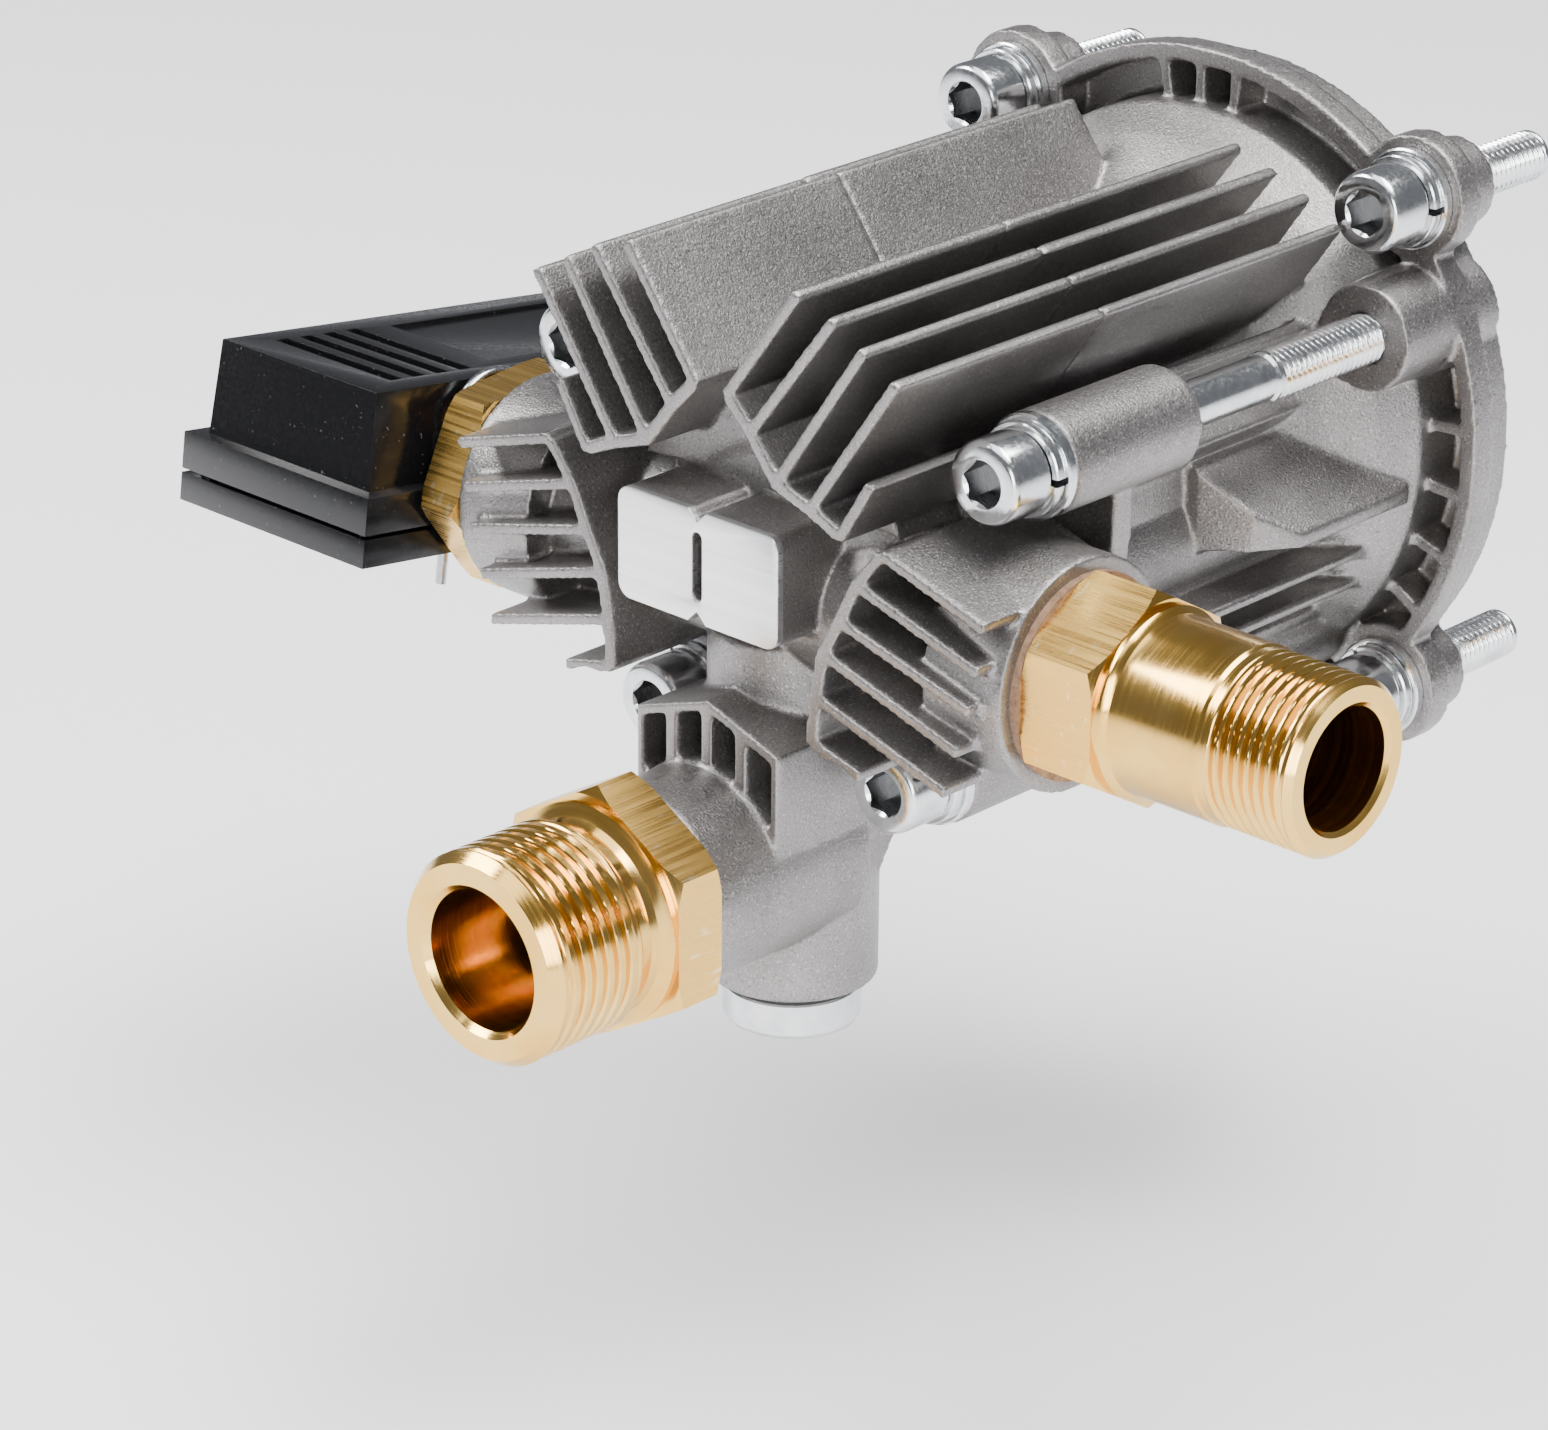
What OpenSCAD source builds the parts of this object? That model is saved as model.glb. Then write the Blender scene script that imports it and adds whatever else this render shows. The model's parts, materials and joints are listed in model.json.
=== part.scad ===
// Axial three-plunger pressure washer pump.
// The origin is the centre of the rear mounting face, on the drive shaft's axis.
// +Y points into the motor, +X to the outlet and +Z up. Millimetres.

/* [Mounting flange] */
// Half the side of the square of flange bolts
flange_half = 40.8; // [40:0.2:42]
// Thickness of the flange
flange_t = 12; // [10:1:14]
// Radius of the flange's round rim
flange_r = 56; // [55:0.5:57]
// Radius of each corner ear
ear_r = 9.8; // [9:0.2:11]

/* [Long bolts] */
// Half the distance between the upper long bolts
upper_x = 42.5; // [41.5:0.5:43]
// Height of the upper long bolts over the shaft's axis
upper_z = 21.3; // [20:0.5:23]
// Half the distance between the lower long bolts
lower_x = 24.5; // [24:0.5:25]
// Drop of the lower long bolts under the shaft's axis
lower_z = 32.8; // [32:0.5:34]
// Nominal radius of the M8 screws
bolt_r = 4; // [4:4]
// Length of the long bolts under the head
long_bolt_l = 100; // [95:1:100]

/* [Pumping group] */
// Radius of the circle that the three plungers stand on
plunger_circle = 18; // [18:0.5:18.5]
// Radius of a plunger
plunger_r = 5; // [4.5:0.5:5]
// Stroke of a plunger
stroke = 7.5; // [6:0.5:7.5]

/* [Ports] */
// Radius over the crests of the outlet's thread
outlet_r = 13.2; // [13:0.1:13.3]
// Radius of the bore through the outlet fitting
outlet_bore = 9.2; // [8:0.2:9.4]
// Radius over the crests of the inlet's thread
inlet_r = 16.6; // [16:0.1:16.8]
// Radius of the bore through the inlet fitting
inlet_bore = 11; // [10:0.5:11.5]

/* [Hidden] */
$fn = 64;
cut = 1;           // how far a cutting tool passes through a face
PLUNGER_ANGLES = [90, 210, 330];

// Stations along the shaft, from the mounting face forwards
seal_y = -2;       // back of the shaft's oil seal
seal_t = 6;
bearing_y = -9;    // back of the ball bearing
bearing_t = 11;
bearing_r = 17.5;
shaft_r = 7.5;
cavity_y = -22;    // back wall of the oil space
cavity_r = 27;
swash_y = -28.5;   // back of the tilted plate, on the axis
swash_t = 6;
swash_r = 23.5;
ball_r = 1.5;      // balls of the thrust bearing
race_t = 2;
foot_y = -45.6;    // back of a plunger at its rear dead centre
foot_t = 3;
collar_t = 2;
guide_y = -70;     // back of the guide plate
guide_t = 10;
guide_r = 28.5;
oil_seal_t = 4;
split_y = -80;     // joint between the housing and the head
pack_y = -80;      // back of the high-pressure seal pack
backup_t = 1.5;
water_t = 2.5;
tip_y = -84.4;     // front end of a plunger at rest
chamber_y = -92.3; // front wall of a pressure chamber
gland_r = 8;       // radius of the seal pockets and pressure chambers
tilt = atan(stroke / (2 * plunger_circle));

// Valves
inlet_ring = 21.5;    // radius of the circle of inlet valves
inlet_vr = 3.8;
inlet_vl = 5;
outlet_ring = 12.5;   // radius of the circle of outlet valves
outlet_vr = 3.2;
outlet_vl = 7.7;
valve_seat_t = 1.5;
poppet_t = 1.2;
cage_wall = 0.6;

// Side arms, which lie along X, and the inlet column
arm_y = -104.3;
arm_z = -7;
arm_r = 18;
right_end = 55;
left_end = -57;
gallery_r = 3.8;
column_y = -105;
column_x = -1.1;
column_r = 13.4;
column_end = -72.7;
inlet_z = -48.8;
block_y = -125;      // front face of the inlet block
boss_y = -138;       // front face of the round boss on it
boss_r = 16.4;
front_y = -125;      // front plane of the fins
pad_y = -126;        // milled pad
rear_boss_y = -24.5; // front of the tapped bosses on the flange
seat_y = -101.2;     // front of the head's bolt bosses
flat_t = 1.6;
spring_t = 2.1;
neck_shank_r = 3.7;
long_neck = 56;
bolt_end = seat_y - flat_t - spring_t + long_bolt_l;
head_t = 8;
head_r = 6.5;

// Switch box, laid out level and then turned down about the arms' axis
box_drop = 7.6;
box_right = -67.5;
box_left = -111;
box_front = -131.5;
box_back = -36;
box_low = -20.6;
box_split = -15.3;
box_rim = -9.2;
box_high = 6.5;

module rod_x(y, z, from, to, r) {
    translate([from, y, z]) rotate([0, 90, 0]) cylinder(h = to - from, r = r);
}
module rod_y(x, z, from, to, r) {
    translate([x, from, z]) rotate([-90, 0, 0]) cylinder(h = to - from, r = r);
}
module rod_z(x, y, from, to, r) {
    translate([x, y, from]) cylinder(h = to - from, r = r);
}
// Extrudes a drawing in X and Z along Y
module slab_y(from, to) {
    translate([0, to, 0]) rotate([90, 0, 0]) linear_extrude(to - from) children();
}
// Extrudes a drawing in Y and Z along X
module slab_x(from, to) {
    translate([from, 0, 0]) rotate([90, 0, 90]) linear_extrude(to - from) children();
}
// Extrudes a drawing in X and Y along Z
module slab_z(from, to) {
    translate([0, 0, from]) linear_extrude(to - from) children();
}
// Turns a drawing of radius and station about an axis along Y
module turned_y() {
    rotate([-90, 0, 0]) rotate_extrude($fn = 96) children();
}
// A straight wall of thickness t between two points, with round ends
module wall(a, b, t) {
    length = norm(b - a);
    translate(a) rotate(atan2(b[1] - a[1], b[0] - a[0])) translate([0, -t / 2]) square([length, t]);
    translate(a) circle(d = t, $fn = 24);
    translate(b) circle(d = t, $fn = 24);
}
// A straight plate of thickness t between two points, with square ends
module plate(a, b, t) {
    translate(a) rotate(atan2(b[1] - a[1], b[0] - a[0])) translate([0, -t / 2]) square([norm(b - a), t]);
}
// A bent plate through a list of points, each widened by half its thickness along a direction
module bent_plate(points, half) {
    last = len(points) - 1;
    polygon([for (i = [0:last]) points[i] + half, for (i = [last:-1:0]) points[i] - half]);
}
module both_sides() {
    children();
    mirror([1, 0, 0]) children();
}
module at_plungers(radius) {
    for (a = PLUNGER_ANGLES) translate([radius * cos(a), 0, radius * sin(a)]) children();
}
// A ring or tube about an axis along Y
module tube_y(from, to, outer, inner) {
    difference() {
        rod_y(0, 0, from, to, outer);
        rod_y(0, 0, from - cut, to + cut, inner);
    }
}
module tube_x(y, z, from, to, outer, inner) {
    difference() {
        rod_x(y, z, from, to, outer);
        rod_x(y, z, from - cut, to + cut, inner);
    }
}

// ---- Rear housing ----
FIN_FEET = [[3.4, 28.2], [8, 23.4], [13.2, 16.8], [20, 14.6], [26, 12]];
FIN_TIPS = [[16.4, 45.6], [23.4, 43.3], [29.3, 40.1], [35.6, 36.8], [31, 20.3]];
fin_t = 1.9;
FIN_BACKS = [-25, -25, -24, -24, -22];

lip_t = 5;
lip_inset = 2.5;
// The flange's outline, shrunk by an inset
module flange_outline(inset) {
    circle(r = flange_r - inset, $fn = 128);
    for (sx = [-1, 1], sz = [-1, 1]) {
        translate([sx * flange_half, sz * flange_half]) circle(r = ear_r - inset);
        rotate(atan2(sz, sx)) translate([36, -17 + inset]) square([14, 34 - 2 * inset]);
        translate([sx * flange_half, sz * flange_half]) rotate(atan2(sz, sx))
            translate([-14, -ear_r + inset + 0.6]) square([14, 2 * (ear_r - inset - 0.6)]);
    }
}
rim_t = 3;
rim_floor = -5;
bell_r = 47;
// Recess between the rim and the bell, with ribs left standing in it
module rim_pocket() {
    difference() {
        circle(r = flange_r - rim_t, $fn = 128);
        circle(r = bell_r, $fn = 128);
        for (sx = [-1, 1], sz = [-1, 1]) translate([sx * flange_half, sz * flange_half])
            circle(r = ear_r + 0.5);
        for (sx = [-1, 1]) {
            translate([sx * upper_x, upper_z]) circle(r = 9);
            for (a = [6, -6, -18, -30]) rotate(sx > 0 ? a : 180 - a) translate([0, -1])
                square([flange_r, 2]);
        }
        for (a = [84, 92, 100]) rotate(a) translate([0, -1]) square([flange_r, 2]);
        for (a = [-60, -90, -120]) rotate(a) translate([0, -1]) square([flange_r, 2]);
    }
}
neck_r = 31.5;
module bell() {
    turned_y() polygon([[0, 0], [bell_r, 0], [bell_r, -14], [43, -20], [37.5, -27], [33.5, -33],
        [neck_r, -42], [neck_r, split_y], [0, split_y]]);
}
// Upper fins, kept between two stations
module fin_pack(from_y, backs, foot_shift, tip_shift) {
    for (i = [0:4]) {
        direction = (FIN_TIPS[i] - FIN_FEET[i]) / norm(FIN_TIPS[i] - FIN_FEET[i]);
        slab_y(from_y, backs[i])
            plate(FIN_FEET[i] + direction * foot_shift, FIN_TIPS[i] + direction * tip_shift, fin_t);
    }
}
// The wedge beside the bell, with a flat sloping top and a cut front corner
ledge_x = 46.8;
ledge_front = -53;
module side_ledge() {
    intersection() {
        slab_y(ledge_front, -16) polygon([[22, 9], [32, 6.2], [ledge_x, -4.8], [ledge_x, -7], [26, -9]]);
        slab_z(-12, 12) polygon([[20, ledge_front], [34, ledge_front], [42, ledge_front + 4],
            [48, ledge_front + 12], [48, -10], [20, -10]]);
    }
}
module low_fins() {
    for (i = [0:2]) {
        z = -14 - 6 * i;
        slab_y(split_y + 1, -14) plate([16, z], [41 - 2 * i * i, z - 2], fin_t);
    }
}
module housing_outside() {
    difference() {
        union() {
            slab_y(-flange_t, -flange_t + lip_t) flange_outline(0);
            slab_y(-flange_t + lip_t - cut, 0) flange_outline(lip_inset);
        }
        slab_y(-flange_t - cut, rim_floor) rim_pocket();
    }
    bell();
    both_sides() {
        rod_y(upper_x, upper_z, rear_boss_y, -1, 8.6);
        rod_y(lower_x, -lower_z, split_y + 8, -1, 8.6);
        fin_pack(split_y, FIN_BACKS, -4, 1.6);
        slab_y(split_y, -20) plate([7, 27], [33, 7], 6);
        side_ledge();
        low_fins();
    }
    // lobes around the lower plungers
    for (sx = [-1, 1]) rod_y(sx * 17, -10.5, split_y, -20, 17);
}
module rear_housing() color("silver") {
    difference() {
        housing_outside();
        rod_y(0, 0, bearing_y - bearing_t, cut, bearing_r);
        rod_y(0, 0, cavity_y - cut, 0, 14.5);
        rod_y(0, 0, guide_y, cavity_y, cavity_r);
        rod_y(0, 0, split_y - cut, guide_y, guide_r);
        for (sx = [-1, 1], sz = [-1, 1]) rod_y(sx * flange_half, sz * flange_half,
            -flange_t - cut, cut, bolt_r + 0.4);
        for (sx = [-1, 1]) {
            rod_y(sx * upper_x, upper_z, split_y - cut, bolt_end, bolt_r);
            rod_y(sx * lower_x, -lower_z, split_y - cut, bolt_end, bolt_r);
        }
    }
}

// ---- Head ----
pad_x = -1.5;
pad_w = 33;
pad_h = 18;
module pad_outline() {
    difference() {
        translate([-pad_w / 2 + 2.5, -pad_h / 2 + 2.5]) offset_box(pad_w - 5, pad_h - 5, 2.5);
        for (sz = [-1, 1]) translate([0, sz * (pad_h / 2 + 0.3)]) rotate(45)
            square([2.6, 2.6], center = true);
    }
}
// A rectangle with round corners, from its inner corner
module offset_box(w, h, r) {
    for (x = [0, w], y = [0, h]) translate([x, y]) circle(r = r, $fn = 32);
    translate([-r, 0]) square([w + 2 * r, h]);
    translate([0, -r]) square([w, h + 2 * r]);
}
comb_t = 1.9;
spine_half = 1.2;
COMB_SPINE = [[34, 11.5], [29.2, 5.4], [26, -1.2], [22.8, -7.2], [21.5, -14.5], [20.9, -22]];
COMB_ENDS = [[54, 5.5], [53, -1.5], [51.5, -7.9], [49.5, -14.9], [47.2, -21.8], [30.7, -24.5]];
module comb() {
    // plates in front of an arm, joined by a bent spine
    slab_y(front_y, arm_y + 1) {
        for (i = [0:5]) plate(COMB_SPINE[i], COMB_ENDS[i], comb_t);
        bent_plate(COMB_SPINE, [spine_half, 0]);
    }
    slab_y(arm_y, arm_y + 10) plate(COMB_SPINE[0], COMB_ENDS[0], comb_t);
}
module dome() {
    turned_y() polygon([[0, split_y], [31, split_y], [31, split_y - 4], [25, split_y - 6],
        [27, chamber_y], [27, -102], [24.5, -107], [20, -110.5], [14, -113], [0, -114.5]]);
}
roof_x = -0.5;
roof_z = -21.5;
eaves_z = -26.5;
eaves_x = 14.8;
module inlet_block() {
    slab_y(block_y, -98) polygon([[roof_x, roof_z], [roof_x + eaves_x, eaves_z],
        [roof_x + eaves_x, -46], [8, -62], [-10, -62], [roof_x - eaves_x, -46],
        [roof_x - eaves_x, eaves_z]]);
    rod_y(column_x, inlet_z, boss_y, column_y, boss_r);
}
module block_pockets() {
    slab_y(block_y - cut, block_y + 9) difference() {
        for (i = [0:3]) {
            x = roof_x - 13.4 + 7.2 * i;
            polygon([[x, -44], [x + 4.9, -44], [x + 4.9, roof_under(x + 4.9)], [x, roof_under(x)]]);
        }
        translate([column_x, inlet_z]) circle(r = boss_r + 0.4);
    }
}
// Height of the roof's underside over a point of X
function roof_under(x) = roof_z - 1.8 - abs(x - roof_x) * (roof_z - eaves_z) / eaves_x;
module head_outside() {
    dome();
    at_plungers(plunger_circle) rod_y(0, 0, chamber_y - 8, split_y, 11);
    slab_y(pad_y, -105) translate([pad_x, 0]) pad_outline();
    rod_x(arm_y, arm_z, left_end, right_end, 13);
    rod_x(arm_y, arm_z, 40, right_end, arm_r);
    rod_x(arm_y, arm_z, left_end, -42, arm_r);
    both_sides() {
        comb();
        fin_pack(front_y, [for (i = [0:4]) split_y], -0.5, 1.4);
        slab_y(front_y, split_y) bent_plate(FIN_FEET, [0.65, 0.95]);
        slab_y(-112, split_y) polygon([[5, 10], [5, 26], [11, 19], [24, 14], [26, 8]]);
        rod_y(upper_x, upper_z, seat_y, -73, 8.1);
        slab_y(-98, split_y) plate([22, 9], [upper_x - 3, upper_z - 2], 9);
        slab_y(-87, -82.5) polygon([[22, 8], [40, 18], [46, 16], [45, -5], [22, -9]]);
        rod_y(lower_x, -lower_z, seat_y, split_y, 8.3);
        slab_y(-96, split_y) plate([12, -18], [lower_x, -lower_z], 12);
    }
    rod_z(column_x, column_y, column_end, -14, column_r);
    inlet_block();
}
module head_inside() {
    at_plungers(plunger_circle) rod_y(0, 0, chamber_y, pack_y + cut, gland_r);
    at_plungers(inlet_ring) rod_y(0, 0, chamber_y - inlet_vl, chamber_y + cut, inlet_vr);
    at_plungers(outlet_ring) rod_y(0, 0, chamber_y - outlet_vl - 1.5, chamber_y + cut, outlet_vr);
    // suction ring, fed from the column
    tube_y(chamber_y - inlet_vl - 2.2, chamber_y - inlet_vl + 0.01, inlet_ring + 3, inlet_ring - 3);
    rod_y(0, -inlet_ring, column_y, chamber_y - inlet_vl - 1, 3.5);
    rod_z(column_x, column_y, column_end - cut, -inlet_ring + 3, 5);
    rod_z(column_x, column_y, column_end - cut, column_end + 12, 9);
    rod_y(column_x, inlet_z, boss_y - cut, column_y, 6);
    rod_y(column_x, inlet_z, boss_y - cut, -113, 8.5);
    rod_y(column_x, inlet_z, boss_y - cut, boss_y + 10, 12);
    // pressure gallery through both arms
    rod_x(arm_y, arm_z, left_end - cut, right_end + cut, gallery_r);
    rod_x(arm_y, arm_z, right_end - 20, right_end + cut, 10.5);
    rod_x(arm_y, arm_z, left_end - cut, left_end + 20, 10.5);
    rod_z(0, arm_y, arm_z, outlet_ring + 1.5, 3.2);
    for (sx = [-1, 1]) {
        rod_y(sx * upper_x, upper_z, seat_y - cut, -60, bolt_r + 0.4);
        rod_y(sx * lower_x, -lower_z, seat_y - cut, -60, bolt_r + 0.4);
        rod_y(sx * upper_x, upper_z, seat_y - 30, seat_y, 9.2);
        rod_y(sx * lower_x, -lower_z, seat_y - 30, seat_y, 9.2);
    }
}
module pump_head() color("silver") {
    difference() {
        head_outside();
        head_inside();
        block_pockets();
        slab_y(pad_y - cut, pad_y + 4) translate([pad_x, 0]) wall([0, -4.5], [0, 4.5], 2);
    }
}

// ---- Fasteners ----
module socket_screw(length, neck) {
    // along +Y, with the underside of the head at the origin and a thinner neck under it
    difference() {
        union() {
            rod_y(0, 0, -head_t, 0, head_r);
            rod_y(0, 0, -cut, neck + cut, neck_shank_r);
            rod_y(0, 0, neck, length, bolt_r);
        }
        translate([0, -head_t - cut, 0]) rotate([-90, 0, 0]) cylinder(h = 4 + cut, r = 3.46, $fn = 6);
    }
}
module at_flange_bolts() {
    for (sx = [-1, 1], sz = [-1, 1]) translate([sx * flange_half, -flange_t, sz * flange_half])
        children();
}
module at_head_bolts() {
    for (sx = [-1, 1]) {
        translate([sx * upper_x, seat_y, upper_z]) children();
        translate([sx * lower_x, seat_y, -lower_z]) children();
    }
}
module flange_bolts() color("gainsboro") {
    at_flange_bolts() translate([0, -flat_t - spring_t, 0]) socket_screw(35, flat_t + spring_t + flange_t);
}
module head_bolts() color("gainsboro") {
    at_head_bolts() translate([0, -flat_t - spring_t, 0]) socket_screw(long_bolt_l, long_neck);
}
module flat_washers() color("silver") {
    at_flange_bolts() tube_y(-flat_t, 0, 8, bolt_r + 0.2);
    at_head_bolts() tube_y(-flat_t, 0, 8, bolt_r + 0.2);
}
module split_washer() {
    difference() {
        tube_y(-flat_t - spring_t, -flat_t, 7.3, bolt_r + 0.15);
        translate([0, -flat_t - spring_t / 2, 5.7]) rotate([0, 20, 0])
            cube([0.8, spring_t + 1, 5], center = true);
    }
}
module spring_washers() color("gainsboro") {
    at_flange_bolts() split_washer();
    at_head_bolts() split_washer();
}

// ---- Outlet ----
hex_t = 13;
washer_t = 1.2;
outlet_start = right_end + washer_t;
outlet_end = 103.5;
module outlet_fitting() color("gold") {
    difference() {
        union() {
            translate([outlet_start, arm_y, arm_z]) rotate([0, 90, 0])
                cylinder(h = hex_t, r = 17, $fn = 6);
            rod_x(arm_y, arm_z, outlet_start + hex_t - cut, outlet_end - 16, 13.5);
            rod_x(arm_y, arm_z, outlet_end - 17, outlet_end, outlet_r);
            rod_x(arm_y, arm_z, right_end - 14, outlet_start + cut, 10.5);
        }
        rod_x(arm_y, arm_z, right_end + 2, outlet_end + cut, outlet_bore);
        rod_x(arm_y, arm_z, right_end - 15, right_end - 1, 7.5);
        rod_x(arm_y, arm_z, right_end - 2, right_end + 3, 3.6);
    }
}
module outlet_washer() color("peru") tube_x(arm_y, arm_z, right_end, outlet_start, 15.8, 10.6);
module check_valve_seat() color("silver")
    tube_x(arm_y, arm_z, right_end - 20, right_end - 16, 10.5, 4);
module check_valve_poppet() color("white") {
    rod_x(arm_y, arm_z, right_end - 16, right_end - 12, 5.6);
    rod_x(arm_y, arm_z, right_end - 12.5, right_end - 5, 2.5);
}
// A close-coiled spring, drawn as a stack of rings joined by thin bars
module spring_y(from, to, r, wire, rings) {
    pitch = (to - from - wire) / (rings - 1);
    for (i = [0:rings - 1]) translate([0, from + wire / 2 + i * pitch, 0]) turned_ring(r, wire);
    for (a = [0, 180]) rotate([0, a, 0]) rod_y(r, 0, from + wire / 2, to - wire / 2, wire / 3);
}
module turned_ring(r, wire) {
    rotate([-90, 0, 0]) rotate_extrude($fn = 32) translate([r, 0]) circle(d = wire, $fn = 16);
}
module spring_x(y, z, from, to, r, wire, rings) {
    translate([0, y, z]) rotate([0, 0, -90]) spring_y(from, to, r, wire, rings);
}
module check_valve_spring() color("silver")
    spring_x(arm_y, arm_z, right_end - 12, right_end - 1, 4.4, 0.9, 6);

// ---- Inlet ----
inlet_start = boss_y - washer_t;
inlet_end = -172;
inlet_hex_t = 9;
strainer_l = 22;
strainer_rim_r = inlet_bore - 0.5;
rim_seat = 6.2;
module at_inlet() {
    translate([column_x, 0, inlet_z]) children();
}
module inlet_fitting() color("gold") at_inlet() {
    difference() {
        union() {
            translate([0, inlet_start, 0]) rotate([90, 30, 0]) cylinder(h = inlet_hex_t, r = 20.5, $fn = 6);
            rod_y(0, 0, inlet_start - inlet_hex_t - 8, inlet_start - inlet_hex_t + cut, 14.9);
            rod_y(0, 0, inlet_end, inlet_start - inlet_hex_t - 6, inlet_r);
            rod_y(0, 0, inlet_start - cut, boss_y + 9.5, 12);
        }
        rod_y(0, 0, inlet_end - cut, inlet_start - rim_seat, inlet_bore);
        rod_y(0, 0, inlet_start - 7, inlet_start - 4, strainer_rim_r);
        rod_y(0, 0, inlet_start - 5, boss_y + 11, 8.5);
    }
}
module inlet_washer() color("peru") at_inlet() tube_y(inlet_start, boss_y, 16.2, 12.1);
module inlet_strainer() color("silver") at_inlet() {
    difference() {
        union() {
            rod_y(0, 0, inlet_start - 6, inlet_start - 4, strainer_rim_r);
            rod_y(0, 0, inlet_start - 5, inlet_start + strainer_l, 7);
        }
        rod_y(0, 0, inlet_start - 7, inlet_start + strainer_l - 1, 6.2);
        for (a = [0:45:315], y = [2:5:strainer_l - 4]) rotate([0, a, 0])
            translate([5, inlet_start + y, 0]) rotate([0, 90, 0]) cylinder(h = 4, r = 1.4, $fn = 16);
    }
}
module bottom_plug() color("gainsboro") {
    difference() {
        union() {
            rod_z(column_x, column_y, column_end - 8, column_end - 1.5, 10.9);
            rod_z(column_x, column_y, column_end - 2, column_end + 11.5, 9);
        }
        translate([column_x, column_y, column_end - 9]) cylinder(h = 6, r = 5.8, $fn = 6);
    }
}
module bottom_plug_seal() color("black") translate([column_x, column_y, 0]) difference() {
    cylinder_between(column_end - 1.5, column_end, 10.8);
    cylinder_between(column_end - 2.5, column_end + 1, 9.05);
}
module cylinder_between(from, to, r) {
    translate([0, 0, from]) cylinder(h = to - from, r = r);
}

// ---- Total-stop valve ----
nut_t = 8;
nut_turn = -25;
spigot_end = left_end - nut_t - 10;
module stop_valve_body() color("gold") {
    difference() {
        union() {
            translate([left_end - 1 - nut_t, arm_y, arm_z]) rotate([0, 90, 0]) rotate(nut_turn)
                cylinder(h = nut_t, r = 18.2, $fn = 6);
            rod_x(arm_y, arm_z, left_end - 2, left_end + 18, 10.5);
            rod_x(arm_y, arm_z, spigot_end, left_end - nut_t, 9);
        }
        rod_x(arm_y, arm_z, left_end - 4, left_end + 19, 6);
        rod_x(arm_y, arm_z, spigot_end - cut, left_end, 3.05);
        tube_x(arm_y, arm_z, clip_x - clip_wire - 0.2, clip_x + clip_wire + 0.2, 10, clip_r - clip_wire);
    }
}
module stop_valve_seal() color("black")
    tube_x(arm_y, arm_z, left_end - 1, left_end, 14, 10.6);
module stop_piston() color("silver") {
    rod_x(arm_y, arm_z, left_end + 8, left_end + 14, 5.9);
    rod_x(arm_y, arm_z, spigot_end - 1, left_end + 9, 3);
}
module stop_piston_seal() color("black")
    tube_x(arm_y, arm_z, left_end + 14, left_end + 16, 5.9, 2.5);
module stop_spring() color("silver")
    spring_x(arm_y, arm_z, left_end - 3.9, left_end + 8, 4.6, 0.9, 7);

// ---- Switch box ----
module tipped() {
    translate([0, arm_y, arm_z]) rotate([-box_drop, 0, 0]) translate([0, -arm_y, -arm_z]) children();
}
module box_block(inset, low, high) {
    translate([box_left + inset, box_front + inset, low])
        cube([box_right - box_left - 2 * inset, box_back - box_front - 2 * inset, high - low]);
}
// The tapered upper part of the cover, shrunk by a wall
module cover_taper(inset) {
    low = box_rim - (inset > 0 ? cut : 0);
    high = box_high - inset;
    lean = 0.8;
    step = cover_step + inset;
    intersection() {
        slab_y(box_front, box_back) polygon([[box_left + step, low], [box_right - step, low],
            [box_right - step - lean, high], [box_left + step + lean, high]]);
        slab_x(box_left, box_right) polygon([[box_front + step, low], [box_front + step + lean, high],
            [box_back - step - lean, high], [box_back - step, low]]);
    }
}
wall_t = 2;
box_gap = 0.7;
cover_step = 2.8;
socket_end = -66.4;
socket_h = 14;
module switch_box_base() color("black") tipped() {
    difference() {
        union() {
            box_block(0, box_low, box_split - box_gap);
            box_block(wall_t + 0.2, box_split - cut, box_split + 2);
        }
        box_block(2 * wall_t, box_low + wall_t, box_split + 3);
        rod_x(arm_y, arm_z, spigot_end - cut, box_right + cut, 9.2);
        at_cover_screws() cylinder_between(box_low - cut, box_split + 3, 1.4);
        at_cover_screws() cylinder_between(box_low - cut, box_low + screw_head_t, 2.3);
        clip_slots(box_low - cut, box_split + 3);
    }
}
module switch_box_cover() color("black") tipped() {
    difference() {
        union() {
            box_block(0, box_split, box_rim);
            translate([0, 0, -0.01]) cover_taper(0);
            translate([box_right - 5, arm_y - 11, box_split])
                cube([socket_end - box_right + 5, 22, socket_h]);
        }
        difference() {
            box_block(wall_t, box_split - cut, box_rim - wall_t);
            at_cover_screws() cylinder_between(box_split + 2.3, box_rim, 2.4);
        }
        at_cover_screws() cylinder_between(box_split, screw_top + 0.2, 1.25);
        cover_taper(wall_t);
        box_block(cover_step + wall_t, box_rim - wall_t - cut, box_rim + cut);
        rod_x(arm_y, arm_z, spigot_end - 1, box_right + 6, 9.2);
        rod_y(box_mid, grommet_z, box_back - 9, box_back + 2, 5);
        for (i = [0:3]) translate([box_left + 8, box_front + 11 + 5 * i, box_high - 1.2])
            cube([27, 2.6, 2]);
        translate([box_left + 9, box_front + 35, box_high - 0.7]) cube([23.5, 52, 2]);
        clip_slots(box_split - 2, box_high + 6);
    }
}
module clip_slots(low, high) {
    for (sy = [-1, 1]) rod_z(clip_x, arm_y + sy * clip_r, low, high, clip_wire + 0.3);
}
screw_head_t = 1.2;
screw_top = box_rim - 0.8;
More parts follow.
